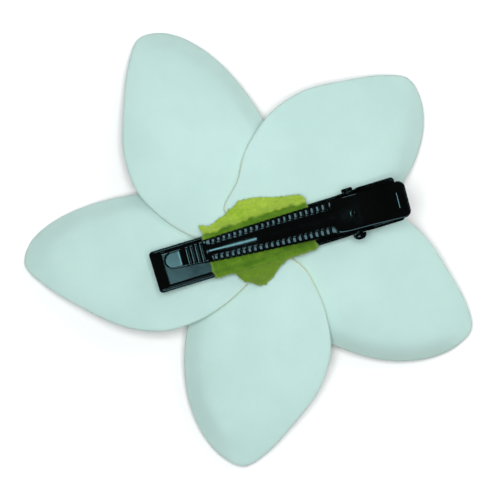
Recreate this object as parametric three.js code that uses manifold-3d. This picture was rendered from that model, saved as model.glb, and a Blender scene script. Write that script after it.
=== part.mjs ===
// A foam plumeria flower on a sprung metal alligator hair clip, lying face down on its petal tips.
// Millimetres, +Z up. The clip's base runs along X, its nose towards -X and its thumb plate towards +X.
// Everything is laid out from the flower's axis, and the last lines move the group so that the
// origin is the centre of the bounding box's underside.

import * as THREE from "three";
import { mergeVertices } from "three/addons/utils/BufferGeometryUtils.js";
import Module from "manifold-3d";

const wasm = await Module();
wasm.setup();

// ---------------------------------------------------------------- driving dimensions

// Flower: five petals pressed from foam sheet, overlapping like a pinwheel.
const PETAL_THICKNESS = 1.9;
const PETAL_EDGE = 0.7;
const PETAL_ROOT_THICKNESS = 0.8;
const PETAL_HALF_WIDTH = 13.2;
const PETAL_LENGTH = 40.5;
const CENTRE_HEIGHT = 12.4; // of the petals' middle surface at the flower's axis
const THROAT_RISE = 0.9; // how far the roots rise towards the back round the axis
const DOME_SLOPE = 0.06;
const DOME_BEND = 0.0056;
const PINWHEEL_PITCH = 1.62; // rise per radian, which lifts each petal's edge over the next one
const PINWHEEL_TURN = 1.15; // radians anticlockwise of a petal's axis at which it stops rising
const EDGE_ROLL = 2.4; // how far the clockwise edge is rolled towards the front
const EDGE_SAG = 0.5; // the same for the other edge
const EDGE_CURL = 1.1; // how much further the clockwise edge dips in its last few millimetres

// Clip: two stampings of sheet steel, a rivet and a torsion spring.
const SHEET = 0.5;
const CLIP_BOTTOM = 15.05; // height of the base's underside
const CLIP_Y = -0.45; // the base's centreline, from the flower's axis
const PIN_X = 16.2; // the rivet, from the flower's axis
const PIN_HEIGHT = 2.7; // above the base's underside
const PIN_RADIUS = 0.6;
const BASE_NOSE = -36.4; // from the rivet
const BASE_THUMB = 8.5;
const BASE_HALF_WIDTH = 3.75;
const RIM_HEIGHT = 1.0;
const LEVER_TIP = -34.2;
const LEVER_THUMB = 9.8;
const LEVER_HALF_WIDTH = 3.1;
const LEVER_SKEW = -2.2; // degrees, the play of a cheap rivet
const TOOTH_PITCH = 1.0;
const TOOTH_COUNT = 23;
const FIRST_TOOTH = -26.6;
const EAR_RADIUS = 1.6;
const WIRE_RADIUS = 0.22;

// Cover: the green patch glued over the base and on to the petals.
const COVER_THICKNESS = 0.45;
const COVER_LIFT = 0.08; // its clearance over the base
const COVER_CHANNEL = BASE_HALF_WIDTH - 0.9; // half the width of the tray's floor that it fills
const COVER_SHOULDER = BASE_HALF_WIDTH + 0.2; // where it leaves the rim
const COVER_SLOPE = 1.1; // how steeply it falls from the rims to the petals
const COVER_MARGIN = 0.04; // the share of a petal's size by which the cover clears its edge
const GLUE_GAP = 0.3; // the glue under whatever is stuck down

// ---------------------------------------------------------------- building solids

// Turns a triangle soup of [a, b, c] points into a geometry whose faces point out.
function geometryFrom(triangles) {
  let volume = 0;
  for (const [a, b, c] of triangles) volume += a.dot(b.clone().cross(c));
  const positions = [];
  for (const [a, b, c] of triangles) {
    for (const p of volume > 0 ? [a, b, c] : [a, c, b]) positions.push(p.x, p.y, p.z);
  }
  const geometry = new THREE.BufferGeometry();
  geometry.setAttribute("position", new THREE.Float32BufferAttribute(positions, 3));
  return geometry;
}

// A closed skin over rings of equally many points, fanned to a middle point at each end.
function skin(rings) {
  const triangles = [];
  const count = rings[0].length;
  for (let r = 0; r + 1 < rings.length; r++) {
    for (let i = 0; i < count; i++) {
      const j = (i + 1) % count;
      triangles.push([rings[r][i], rings[r][j], rings[r + 1][j]]);
      triangles.push([rings[r][i], rings[r + 1][j], rings[r + 1][i]]);
    }
  }
  const fan = (ring, flip) => {
    const middle = new THREE.Vector3();
    ring.forEach((p) => middle.addScaledVector(p, 1 / count));
    for (let i = 0; i < count; i++) {
      const j = (i + 1) % count;
      triangles.push(flip ? [middle, ring[j], ring[i]] : [middle, ring[i], ring[j]]);
    }
  };
  fan(rings[0], true);
  fan(rings[rings.length - 1], false);
  return geometryFrom(triangles);
}

// A three.js geometry as a manifold-3d solid.
function solidOf(geometry) {
  const bare = geometry.index ? geometry.toNonIndexed() : geometry.clone();
  bare.deleteAttribute("normal");
  bare.deleteAttribute("uv");
  const merged = mergeVertices(bare, 1e-4);
  return new wasm.Manifold(
    new wasm.Mesh({
      numProp: 3,
      vertProperties: merged.attributes.position.array,
      triVerts: new Uint32Array(merged.index.array),
    }),
  );
}

// A manifold-3d solid as a three.js geometry.
function geometryOf(solid) {
  const mesh = solid.getMesh();
  const geometry = new THREE.BufferGeometry();
  geometry.setAttribute("position", new THREE.BufferAttribute(mesh.vertProperties, 3));
  geometry.setIndex(new THREE.BufferAttribute(mesh.triVerts, 1));
  geometry.computeVertexNormals();
  return geometry;
}

function joined(solid, ...pieces) {
  return pieces.reduce((sum, piece) => sum.add(solidOf(piece)), solid);
}

function cut(solid, ...tools) {
  return tools.reduce((left, tool) => left.subtract(solidOf(tool)), solid);
}

function block(x0, x1, y0, y1, z0, z1) {
  const box = new THREE.BoxGeometry(x1 - x0, y1 - y0, z1 - z0);
  return box.translate((x0 + x1) / 2, (y0 + y1) / 2, (z0 + z1) / 2);
}

// A cylinder along Y at (x, z).
function rodY(x, z, radius, y0, y1, sides = 20) {
  const rod = new THREE.CylinderGeometry(radius, radius, y1 - y0, sides);
  return rod.translate(x, (y0 + y1) / 2, z);
}

// The value at x of straight lines through [x, value] pairs.
function along(pairs, x) {
  if (x <= pairs[0][0]) return pairs[0][1];
  for (let i = 1; i < pairs.length; i++) {
    const [x0, v0] = pairs[i - 1];
    const [x1, v1] = pairs[i];
    if (x <= x1) return v0 + ((v1 - v0) * (x - x0)) / (x1 - x0);
  }
  return pairs[pairs.length - 1][1];
}

const { degToRad, lerp, smoothstep } = THREE.MathUtils;

// ---------------------------------------------------------------- petals

// One petal's cut outline from the flower's axis, X outward and Y anticlockwise from the back:
// the root, the flatter anticlockwise flank, the apex and the rounder clockwise flank. Where a row
// has four numbers, the last two are how far a flare of 1 moves that point along X and Y.
const PETAL_OUTLINE = [
  [1.9, 2.4],
  [3.4, 5.4, -1.2, 0.85],
  [5.4, 7.6, 0, 0.63],
  [9.5, 10.0, 0, 0.44],
  [14.0, 11.6, 0, 0.23],
  [20.0, 12.3, 0, 0.04],
  [26.5, 10.4],
  [33.0, 5.8],
  [38.2, 1.2],
  [40.5, -2.5],
  [39.0, -6.3],
  [35.4, -9.6],
  [29.5, -12.2],
  [22.5, -13.2],
  [16.0, -12.7],
  [10.5, -10.4],
  [5.4, -6.4],
  [1.9, -2.4],
];
const OUTLINE_STEPS = 56;
const RING_SHARES = [0.3, 0.55, 0.76, 0.91, 1];
const RING_CENTRE = new THREE.Vector2(20, 0);

// Each petal's turn about the flower's axis in degrees, its scale along and across, how far its
// apex leans anticlockwise, and how much wider its anticlockwise flank starts at the root.
const PETALS = [
  { name: "petal_upper_right", turn: 35.6, long: 0.935, wide: 1.01, lean: -0.3, flare: 3.4 },
  { name: "petal_top", turn: 112.3, long: 1.025, wide: 1.01, lean: -2.6, flare: 0.8 },
  { name: "petal_left", turn: 177.3, long: 1.04, wide: 0.97, lean: -3.7, flare: 0.4 },
  { name: "petal_bottom", turn: 250.8, long: 0.99, wide: 1.01, lean: 0.5, flare: -0.2 },
  { name: "petal_lower_right", turn: 322.0, long: 0.98, wide: 1.0, lean: 0.9, flare: 1.0 },
];

// The height of a petal's middle surface at a point of its own plan.
function petalHeight(x, y) {
  const radius = Math.hypot(x, y);
  const turn = Math.min(Math.atan2(y, x), PINWHEEL_TURN);
  const dome = CENTRE_HEIGHT - DOME_SLOPE * radius - DOME_BEND * radius * radius;
  const throat = THROAT_RISE * Math.exp(-radius / 3);
  const pitch = PINWHEEL_PITCH * (0.65 + 0.35 * smoothstep(radius, 1, 7));
  const roll = EDGE_ROLL * smoothstep(-y / PETAL_HALF_WIDTH, 0.35, 1.25) ** 1.2;
  const sag = EDGE_SAG * smoothstep(y / PETAL_HALF_WIDTH, 0.3, 1);
  return dome + throat + pitch * turn - roll - sag;
}

// How far a petal's clockwise flank curls down near its edge, and its apex a little.
function edgeCurl(x, y, share) {
  const free = Math.max(0.25 * smoothstep(x, 24, 36), smoothstep(-y, 2, 8));
  return EDGE_CURL * free * smoothstep(share, 0.72, 1) ** 1.5;
}

function petalThickness(x, share) {
  const middle = lerp(PETAL_ROOT_THICKNESS, PETAL_THICKNESS, smoothstep(x, 2, 12));
  return Math.min(middle, lerp(middle, PETAL_EDGE, share ** 4));
}

// The points round one petal's outline.
function petalOutline({ lean, flare }) {
  const corners = PETAL_OUTLINE.map(([x, y, pullX = 0, pullY = 0]) => {
    const leaning = lean * (x / PETAL_LENGTH) ** 3;
    return new THREE.Vector3(x + flare * pullX, y + leaning + flare * pullY, 0);
  });
  return new THREE.CatmullRomCurve3(corners, true, "centripetal")
    .getSpacedPoints(OUTLINE_STEPS)
    .slice(0, OUTLINE_STEPS);
}

function petal(shape) {
  const outline = petalOutline(shape);
  const ring = (share, side) =>
    outline.map((edge) => {
      const x = lerp(RING_CENTRE.x, edge.x, share);
      const y = lerp(RING_CENTRE.y, edge.y, share);
      const half = petalThickness(x, share) / 2;
      const middle = petalHeight(x, y) - edgeCurl(x, y, share);
      return new THREE.Vector3(x, y, middle + side * half);
    });
  const back = RING_SHARES.map((share) => ring(share, 1));
  const front = RING_SHARES.map((share) => ring(share, -1)).reverse();
  return skin([...back, ...front]);
}

// ---------------------------------------------------------------- what holds the flower together

// The bead of glue that fills the throat between the petals' roots.
function flowerCore() {
  const profile = [
    [0, -1.2],
    [0.75, -1.0],
    [1.0, 0],
    [1.0, 1.3],
    [0, 1.5],
  ].map(([r, z]) => new THREE.Vector2(r, CENTRE_HEIGHT + z));
  return new THREE.LatheGeometry(profile, 14).rotateX(Math.PI / 2);
}

// The bed of glue between the petals' roots and the clip's base.
function glueBed() {
  const top = CLIP_BOTTOM - 0.12;
  const profile = [
    [0, top - 0.55],
    [4.4, top - 0.5],
    [4.8, top - 0.25],
    [4.5, top],
    [0, top],
  ].map(([r, z]) => new THREE.Vector2(r, z));
  const bed = new THREE.LatheGeometry(profile, 20).rotateX(Math.PI / 2);
  return bed.scale(1.5, 0.62, 1);
}

// ---------------------------------------------------------------- clip base

// A rounded rectangle in plan at one height, as a ring for skin().
function roundedRing(x0, x1, halfWidth, radius, z) {
  const ring = [];
  const corners = [
    [x1 - radius, halfWidth - radius, 0],
    [x0 + radius, halfWidth - radius, 1],
    [x0 + radius, -halfWidth + radius, 2],
    [x1 - radius, -halfWidth + radius, 3],
  ];
  for (const [cx, cy, quarter] of corners) {
    for (let i = 0; i <= 4; i++) {
      const a = ((quarter + i / 4) * Math.PI) / 2;
      ring.push(new THREE.Vector3(cx + radius * Math.cos(a), cy + radius * Math.sin(a), z));
    }
  }
  return ring;
}

// An ear in the XZ plane that rises from the floor to a round end about the rivet.
function ear(floorZ, radius, footHalf, y0, y1) {
  const shape = new THREE.Shape();
  shape.moveTo(-footHalf, floorZ);
  shape.lineTo(footHalf, floorZ);
  shape.lineTo(radius, PIN_HEIGHT);
  shape.absarc(0, PIN_HEIGHT, radius, 0, Math.PI, false);
  shape.closePath();
  const plate = new THREE.ExtrudeGeometry(shape, {
    depth: y1 - y0,
    bevelEnabled: false,
    curveSegments: 12,
  });
  return plate.rotateX(Math.PI / 2).translate(0, y1, 0);
}

function clipBase() {
  const wallFoot = BASE_HALF_WIDTH - 0.5;
  const noseFoot = BASE_NOSE + 2.0;
  const outer = skin([
    roundedRing(noseFoot, BASE_THUMB - 0.2, wallFoot, 1.1, 0),
    roundedRing(BASE_NOSE + 0.6, BASE_THUMB, BASE_HALF_WIDTH - 0.12, 1.1, RIM_HEIGHT * 0.62),
    roundedRing(BASE_NOSE, BASE_THUMB, BASE_HALF_WIDTH, 1.0, RIM_HEIGHT),
  ]);
  const inner = skin([
    roundedRing(noseFoot + 0.45, BASE_THUMB + 9, wallFoot - 0.3, 0.8, SHEET),
    roundedRing(BASE_NOSE + 1.15, BASE_THUMB + 9, BASE_HALF_WIDTH - 0.55, 0.8, RIM_HEIGHT * 0.8),
    roundedRing(BASE_NOSE + 0.5, BASE_THUMB + 9, BASE_HALF_WIDTH - 0.45, 0.7, RIM_HEIGHT + 0.3),
  ]);
  const inside = BASE_HALF_WIDTH - 0.45;
  const ears = [-1, 1].map((side) => {
    const y0 = side > 0 ? inside : -BASE_HALF_WIDTH;
    return ear(0.7, EAR_RADIUS + 0.1, 2.6, y0, y0 + 0.45);
  });
  const thumbRims = block(3.2, BASE_THUMB + 1, -5, 5, SHEET, 3);
  const tray = cut(solidOf(outer), inner, thumbRims);
  return geometryOf(cut(joined(tray, ...ears), rodY(0, PIN_HEIGHT, PIN_RADIUS + 0.1, -5, 5)));
}

// ---------------------------------------------------------------- toothed lever

const LEVER_TOP = [
  [LEVER_TIP, 1.5],
  [-33.4, 1.7],
  [-28.4, 1.85],
  [-26.4, 2.55],
  [-3, 4.6],
  [-1, 4.85],
  [1.5, 5.0],
  [8.2, 7.1],
  [LEVER_THUMB, 7.75],
];
const LEVER_EDGE = [
  [LEVER_TIP, 0.95],
  [-33.4, 0.7],
  [-28.4, 0.7],
  [-26.4, 1.6],
  [-5, 2.0],
  [-2.4, 2.9],
  [1.6, 3.9],
  [8.2, 6.2],
  [LEVER_THUMB, 6.85],
];
const LEVER_HALF = [
  [LEVER_TIP, 0.7],
  [-33.8, 1.2],
  [-33.4, 1.38],
  [-32.6, 1.55],
  [-28.4, 1.75],
  [-26.6, 2.0],
  [-22.4, 2.28],
  [-12.3, 2.72],
  [-3.0, LEVER_HALF_WIDTH],
  [8.6, LEVER_HALF_WIDTH],
  [9.4, 2.65],
  [LEVER_THUMB, 2.0],
];
const LEVER_STATIONS = [
  LEVER_TIP, -33.8, -33.4, -32.6, -28.4, -27.6, -26.4, -22.4, -12.3, -5, -3, -1, 1.5, 5, 8.2, 8.7,
  9.4, LEVER_THUMB,
];

// The lever's cross-section at x as a ring: an arch with rounded shoulders, inset all round.
function archRing(x, inset, drop) {
  const half = along(LEVER_HALF, x) - inset;
  const top = along(LEVER_TOP, x) - inset;
  const bottom = along(LEVER_EDGE, x) - drop;
  const round = 0.55 - inset * 0.5;
  const ring = [
    [-half, bottom],
    [half, bottom],
    [half, top - round],
    [half - round * 0.3, top - round * 0.3],
    [half - round, top],
    [-half + round, top],
    [-half + round * 0.3, top - round * 0.3],
    [-half, top - round],
  ];
  return ring.map(([y, z]) => new THREE.Vector3(x, y, z));
}

// The ribs pressed across both shoulders, one over each tooth.
function shoulderRibs() {
  const ribs = [];
  for (let i = 0; i < TOOTH_COUNT; i++) {
    const x = FIRST_TOOTH + (i + 0.5) * TOOTH_PITCH;
    const half = along(LEVER_HALF, x);
    const top = along(LEVER_TOP, x);
    for (const side of [-1, 1]) {
      const y0 = side > 0 ? half - 1.35 : -half + 0.35;
      ribs.push(rodY(x, top - 0.06, 0.27, y0, y0 + 1.0, 6));
    }
  }
  return ribs;
}

// The V notches between the teeth, cut up into both edges at once.
function toothNotches() {
  const notches = [];
  for (let i = 0; i <= TOOTH_COUNT; i++) {
    const x = FIRST_TOOTH + i * TOOTH_PITCH;
    const edge = along(LEVER_EDGE, x);
    const v = new THREE.Shape([
      new THREE.Vector2(-0.42, -0.6),
      new THREE.Vector2(0.42, -0.6),
      new THREE.Vector2(0, 0.38),
    ]);
    const prism = new THREE.ExtrudeGeometry(v, { depth: 8, bevelEnabled: false });
    notches.push(prism.rotateX(Math.PI / 2).translate(x, 4, edge));
  }
  return notches;
}

// The finger grooves pressed across the tip.
function tipGrooves() {
  const grooves = [];
  for (let i = 0; i < 5; i++) {
    const x = -31.3 + i * TOOTH_PITCH;
    const half = along(LEVER_HALF, x) - 0.3;
    grooves.push(block(x - 0.2, x + 0.2, -half, half, along(LEVER_TOP, x) - 0.2, 4));
  }
  return grooves;
}

function clipLever() {
  const outer = skin(LEVER_STATIONS.map((x) => archRing(x, 0, 0)));
  const hollow = skin(
    [-33.6, ...LEVER_STATIONS.slice(3, -1), LEVER_THUMB + 1].map((x) => archRing(x, SHEET, 2)),
  );
  const ears = [-1, 1].map((side) => {
    const y0 = side > 0 ? LEVER_HALF_WIDTH - 0.45 : -LEVER_HALF_WIDTH;
    const disc = rodY(0, PIN_HEIGHT, EAR_RADIUS - 0.1, y0, y0 + 0.45, 24);
    const web = block(-1.5, 1.5, y0, y0 + 0.45, PIN_HEIGHT, PIN_HEIGHT + 1.6);
    return [disc, web];
  });
  const shell = cut(solidOf(outer), hollow);
  const dimple = new THREE.CylinderGeometry(0.5, 0.5, 2, 14).rotateX(Math.PI / 2);
  const finished = cut(
    joined(shell, ...ears.flat(), ...shoulderRibs()),
    ...toothNotches(),
    ...tipGrooves(),
    rodY(0, PIN_HEIGHT, PIN_RADIUS + 0.3, -5, 5),
    dimple.translate(-0.3, -0.3, 5),
  );
  return geometryOf(finished);
}

// ---------------------------------------------------------------- rivet and spring

function hingePin() {
  const head = BASE_HALF_WIDTH + 0.08;
  const profile = [
    [0, -head - 1.05],
    [0.6, -head - 0.95],
    [1.0, -head - 0.6],
    [1.15, -head - 0.2],
    [1.15, -head],
    [PIN_RADIUS, -head],
    [PIN_RADIUS, head],
    [1.0, head],
    [1.0, head + 0.45],
    [0.8, head + 0.6],
    [0, head + 0.6],
  ].map(([r, y]) => new THREE.Vector2(r, y));
  return new THREE.LatheGeometry(profile, 20).translate(0, 0, PIN_HEIGHT);
}

// A torsion spring: one leg on the base's thumb plate, a coil about the rivet and a leg under the
// lever's thumb plate.
function torsionSpring() {
  const coilRadius = 1.05;
  const turns = 4.5;
  const coilHalf = 1.2;
  const legReach = 6.6;
  const points = [new THREE.Vector3(legReach, -coilHalf, SHEET + WIRE_RADIUS + 0.1)];
  points.push(new THREE.Vector3(2.6, -coilHalf, PIN_HEIGHT - coilRadius - 0.35));
  const steps = turns * 12;
  for (let i = 0; i <= steps; i++) {
    const a = -Math.PI / 2 - (i / steps) * turns * 2 * Math.PI;
    points.push(
      new THREE.Vector3(
        coilRadius * Math.cos(a),
        -coilHalf + (2 * coilHalf * i) / steps,
        PIN_HEIGHT + coilRadius * Math.sin(a),
      ),
    );
  }
  points.push(new THREE.Vector3(2.6, coilHalf, PIN_HEIGHT + coilRadius + 0.45));
  points.push(
    new THREE.Vector3(
      legReach,
      coilHalf,
      along(LEVER_TOP, legReach) - SHEET - WIRE_RADIUS - 0.25,
    ),
  );
  const wire = new THREE.Shape();
  wire.absarc(0, 0, WIRE_RADIUS, 0, 2 * Math.PI, false);
  return new THREE.ExtrudeGeometry(wire, {
    steps: 76,
    curveSegments: 4,
    bevelEnabled: false,
    extrudePath: new THREE.CatmullRomCurve3(points, false, "centripetal"),
  });
}

// ---------------------------------------------------------------- green cover

const COVER_STATIONS = [
  -26.5, -25.2, -24.2, -23.2, -21.6, -20, -18.5, -17, -15.2, -13.4, -11.6, -9.8, -8.2, -7.3,
];

// The cut edges of the patch on each side of the clip, as [x, y] from the rivet.
const COVER_FAR_EDGE = [
  [-26.5, 5.8],
  [-24.3, 4.9],
  [-23.3, 5.8],
  [-21.5, 5.9],
  [-18.6, 7.8],
  [-15.6, 7.5],
  [-11.6, 6.3],
  [-8.0, 5.8],
  [-7.3, 4.6],
];
const COVER_NEAR_EDGE = [
  [-26.5, -4.3],
  [-25.4, -4.5],
  [-23.0, -4.4],
  [-21.7, -6.3],
  [-19.4, -7.5],
  [-18.4, -7.6],
  [-16.4, -6.6],
  [-14.7, -5.2],
  [-12.1, -4.4],
  [-7.3, -4.3],
];

// Whether a point lies inside a closed outline: a line from it crosses the outline an odd number
// of times.
function isInside(outline, point) {
  let inside = false;
  outline.forEach((a, i) => {
    const b = outline[(i + 1) % outline.length];
    const straddles = a.y > point.y !== b.y > point.y;
    const crossing = a.x + ((b.x - a.x) * (point.y - a.y)) / (b.y - a.y);
    if (straddles && point.x < crossing) inside = !inside;
  });
  return inside;
}

// The height of the flower's back at a point of the plan, with a margin round each petal.
const outlines = PETALS.map(petalOutline);
function flowerBack(x, y) {
  const heights = PETALS.map(({ turn, long, wide }, i) => {
    const own = new THREE.Vector2(x, y).rotateAround(new THREE.Vector2(), -degToRad(turn));
    own.set(own.x / long, own.y / wide);
    const drawnIn = new THREE.Vector2().lerpVectors(RING_CENTRE, own, 1 - COVER_MARGIN);
    const height = petalHeight(own.x, own.y) + PETAL_THICKNESS / 2;
    return isInside(outlines[i], drawnIn) ? height : 0;
  });
  return Math.max(...heights);
}

// The height of the cover's underside above the base's underside, as [x, y] from the rivet: it
// lies on the tray's floor, climbs over the rims and falls to the petals on both sides.
function coverUnderside(x, y) {
  const across = Math.abs(y);
  if (across <= COVER_CHANNEL) return SHEET + COVER_LIFT;
  const outward = Math.max(across - COVER_SHOULDER, 0);
  const falling = RIM_HEIGHT + COVER_LIFT - COVER_SLOPE * outward;
  const petals = flowerBack(x + PIN_X, y + CLIP_Y) - CLIP_BOTTOM + GLUE_GAP;
  return Math.max(falling, petals);
}

function cover() {
  const shares = [0.2, 0.4, 0.7, 1];
  const rings = COVER_STATIONS.map((x) => {
    const side = (edge) => shares.map((t) => lerp(Math.sign(edge) * COVER_SHOULDER, edge, t));
    const near = side(along(COVER_NEAR_EDGE, x)).reverse();
    const far = side(along(COVER_FAR_EDGE, x));
    const rims = [COVER_SHOULDER, COVER_CHANNEL + 0.4, COVER_CHANNEL];
    const line = [...near, ...rims.map((y) => -y), 0, ...[...rims].reverse(), ...far];
    const under = line.map((y) => new THREE.Vector3(x, y, coverUnderside(x, y)));
    const over = under.map((p) => p.clone().setZ(p.z + COVER_THICKNESS)).reverse();
    return [...under, ...over];
  });
  return stripSkin(rings);
}

// Like skin(), for sections that are thin strips: each end is closed between its two long sides.
function stripSkin(rings) {
  const triangles = [];
  const count = rings[0].length;
  for (let r = 0; r + 1 < rings.length; r++) {
    for (let i = 0; i < count; i++) {
      const j = (i + 1) % count;
      triangles.push([rings[r][i], rings[r][j], rings[r + 1][j]]);
      triangles.push([rings[r][i], rings[r + 1][j], rings[r + 1][i]]);
    }
  }
  const close = (ring, flip) => {
    for (let i = 0; i + 1 < count / 2; i++) {
      const [a, b] = [ring[i], ring[i + 1]];
      const [c, d] = [ring[count - 2 - i], ring[count - 1 - i]];
      triangles.push(flip ? [a, c, b] : [a, b, c]);
      triangles.push(flip ? [a, d, c] : [a, c, d]);
    }
  };
  close(rings[0], true);
  close(rings[rings.length - 1], false);
  return geometryFrom(triangles);
}

// ---------------------------------------------------------------- materials and assembly

const foam = new THREE.MeshStandardMaterial({ color: 0xc9e6df, roughness: 0.85, metalness: 0 });
const enamel = new THREE.MeshStandardMaterial({ color: 0x0b0d0e, roughness: 0.25, metalness: 0.6 });
const steel = new THREE.MeshStandardMaterial({ color: 0x8d9296, roughness: 0.3, metalness: 1 });
const felt = new THREE.MeshStandardMaterial({ color: 0x7da52e, roughness: 0.95, metalness: 0 });
const glue = new THREE.MeshStandardMaterial({ color: 0xd8dccf, roughness: 0.4, metalness: 0 });

function part(name, geometry, material) {
  const mesh = new THREE.Mesh(geometry, material);
  mesh.name = name;
  return mesh;
}

const flower = new THREE.Group();
for (const shape of PETALS) {
  const one = part(shape.name, petal(shape), foam);
  one.scale.set(shape.long, shape.wide, 1);
  one.rotation.z = degToRad(shape.turn);
  flower.add(one);
}
flower.add(part("flower_core", flowerCore(), glue));
flower.add(part("glue_bed", glueBed(), glue));

const clip = new THREE.Group();
clip.position.set(PIN_X, CLIP_Y, CLIP_BOTTOM);
clip.add(part("clip_base", clipBase(), enamel));
clip.add(part("hinge_pin", hingePin(), enamel));
clip.add(part("torsion_spring", torsionSpring(), steel));
clip.add(part("green_cover", cover(), felt));
const lever = part("clip_lever", clipLever(), enamel);
lever.rotation.z = degToRad(LEVER_SKEW);
clip.add(lever);

const flowerClip = new THREE.Group();
flowerClip.add(flower, clip);
const bounds = new THREE.Box3().setFromObject(flowerClip, true);
const middle = bounds.getCenter(new THREE.Vector3());
flowerClip.position.set(-middle.x, -middle.y, -bounds.min.z);

export default flowerClip;
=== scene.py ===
import math
import random

import bmesh
import bpy
import numpy as np
from mathutils import Matrix, Vector, noise


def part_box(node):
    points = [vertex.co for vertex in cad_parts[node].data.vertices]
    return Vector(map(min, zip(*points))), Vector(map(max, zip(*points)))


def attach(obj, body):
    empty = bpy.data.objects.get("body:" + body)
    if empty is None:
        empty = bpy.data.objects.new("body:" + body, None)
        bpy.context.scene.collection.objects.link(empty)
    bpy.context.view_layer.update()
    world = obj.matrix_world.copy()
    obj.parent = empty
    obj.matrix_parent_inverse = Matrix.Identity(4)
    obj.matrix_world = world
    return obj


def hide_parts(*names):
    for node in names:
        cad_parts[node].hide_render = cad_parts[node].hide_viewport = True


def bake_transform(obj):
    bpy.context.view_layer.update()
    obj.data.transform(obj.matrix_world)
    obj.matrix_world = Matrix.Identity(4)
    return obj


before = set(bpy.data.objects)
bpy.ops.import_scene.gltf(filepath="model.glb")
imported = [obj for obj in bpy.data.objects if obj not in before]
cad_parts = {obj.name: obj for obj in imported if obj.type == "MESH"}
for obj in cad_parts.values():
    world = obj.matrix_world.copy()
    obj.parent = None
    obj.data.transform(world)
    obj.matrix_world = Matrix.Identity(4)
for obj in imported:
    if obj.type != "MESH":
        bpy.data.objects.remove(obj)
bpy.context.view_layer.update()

# The flower hair clip lies face down on its petal tips, with its clip on top. Shapes are worked
# out in millimetres and turned to metres when a mesh is made. Places come from the frame: the
# flower is laid out from the axis of its core, and the clip from its rivet and its underside.
# Along the clip, x is measured from the rivet: the nose is on the minus side.

MM = 0.001
RANDOM_SEED = 7


def box_of(node):
    low, high = (np.array(corner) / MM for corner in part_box(node))
    return low, high


def box_centre(node):
    low, high = box_of(node)
    return (low + high) / 2


FLOWER_X, FLOWER_Y, _ = box_centre("flower_core")
CLIP_X = box_centre("hinge_pin")[0]
CLIP_Y = box_centre("clip_base")[1]
CLIP_BOTTOM = box_of("clip_base")[0][2]
PIN_HEIGHT = box_centre("hinge_pin")[2] - CLIP_BOTTOM
BASE_NOSE = box_of("clip_base")[0][0] - CLIP_X
BASE_THUMB = box_of("clip_base")[1][0] - CLIP_X

# ---------------------------------------------------------------- dimensions in millimetres

PETAL_THICKNESS = 1.9
PETAL_EDGE = 0.7
PETAL_ROOT_THICKNESS = 0.8
PETAL_HALF_WIDTH = 13.2
PETAL_LENGTH = 40.5
CENTRE_HEIGHT = CLIP_BOTTOM - 2.65
THROAT_RISE = 0.9
DOME_SLOPE = 0.06
DOME_BEND = 0.0056
PINWHEEL_PITCH = 1.62
PINWHEEL_TURN = 1.15
EDGE_ROLL = 2.4
EDGE_SAG = 0.5
EDGE_CURL = 1.1

SHEET = 0.5
BASE_HALF_WIDTH = 3.75
RIM_HEIGHT = 1.0
RIM_END = 3.2
LEVER_TIP = -34.2
LEVER_THUMB = 9.8
LEVER_HALF_WIDTH = 3.1
LEVER_SKEW = math.radians(-2.2)
TOOTH_PITCH = 1.0
TOOTH_COUNT = 22
FIRST_TOOTH = -25.6
WIRE_RADIUS = 0.22
PIN_RADIUS = 0.6

COVER_THICKNESS = 0.38
COVER_LIFT = 0.1

# ---------------------------------------------------------------- mesh helpers


def piece(name, vertices, faces, material, origin=(0, 0, 0)):
    """A mesh object from millimetre points round origin."""
    data = bpy.data.meshes.new(name)
    points = (np.asarray(vertices, float) + np.asarray(origin, float)) * MM
    data.from_pydata(points.tolist(), [], [list(map(int, f)) for f in faces])
    solid = bmesh.new()
    solid.from_mesh(data)
    bmesh.ops.recalc_face_normals(solid, faces=solid.faces)
    solid.to_mesh(data)
    solid.free()
    data.shade_smooth()
    data.materials.append(material)
    obj = bpy.data.objects.new(name, data)
    bpy.context.scene.collection.objects.link(obj)
    return obj


def turned(vertices, angle):
    """Points turned about the vertical through the origin."""
    c, s = math.cos(angle), math.sin(angle)
    return np.asarray(vertices) @ np.array([[c, -s, 0], [s, c, 0], [0, 0, 1]]).T


def add_values(obj, name, values):
    """A float on every vertex, for the piece's material to read."""
    attribute = obj.data.attributes.new(name, "FLOAT", "POINT")
    attribute.data.foreach_set("value", np.asarray(values, np.float32))


def ring_faces(ring_count, ring_size, closed=True):
    """Quads over rings that follow each other in the vertex list."""
    faces = []
    spans = ring_size if closed else ring_size - 1
    for r in range(ring_count - 1):
        for i in range(spans):
            j = (i + 1) % ring_size
            a, b = r * ring_size, (r + 1) * ring_size
            faces.append((a + i, a + j, b + j, b + i))
    return faces


def capped(rings):
    """Vertices and faces of a closed skin over rings, with a fan over each end."""
    rings = np.asarray(rings, float)
    count, size, _ = rings.shape
    vertices = rings.reshape(-1, 3)
    faces = ring_faces(count, size)
    first, last = len(vertices), len(vertices) + 1
    vertices = np.vstack([vertices, rings[0].mean(0), rings[-1].mean(0)])
    end = (count - 1) * size
    for i in range(size):
        j = (i + 1) % size
        faces.append((first, j, i))
        faces.append((last, end + i, end + j))
    return vertices, faces


def lathe(profile, segments, axis="Z"):
    """A closed turned solid from (radius, height) points whose ends lie on the axis."""
    rings = []
    for radius, height in profile:
        turns = np.arange(segments) / segments * 2 * math.pi
        x, y = radius * np.cos(turns), radius * np.sin(turns)
        level = np.full(segments, height)
        rings.append(np.stack([x, y, level] if axis == "Z" else [x, level, -y], 1))
    return capped(rings)


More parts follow.
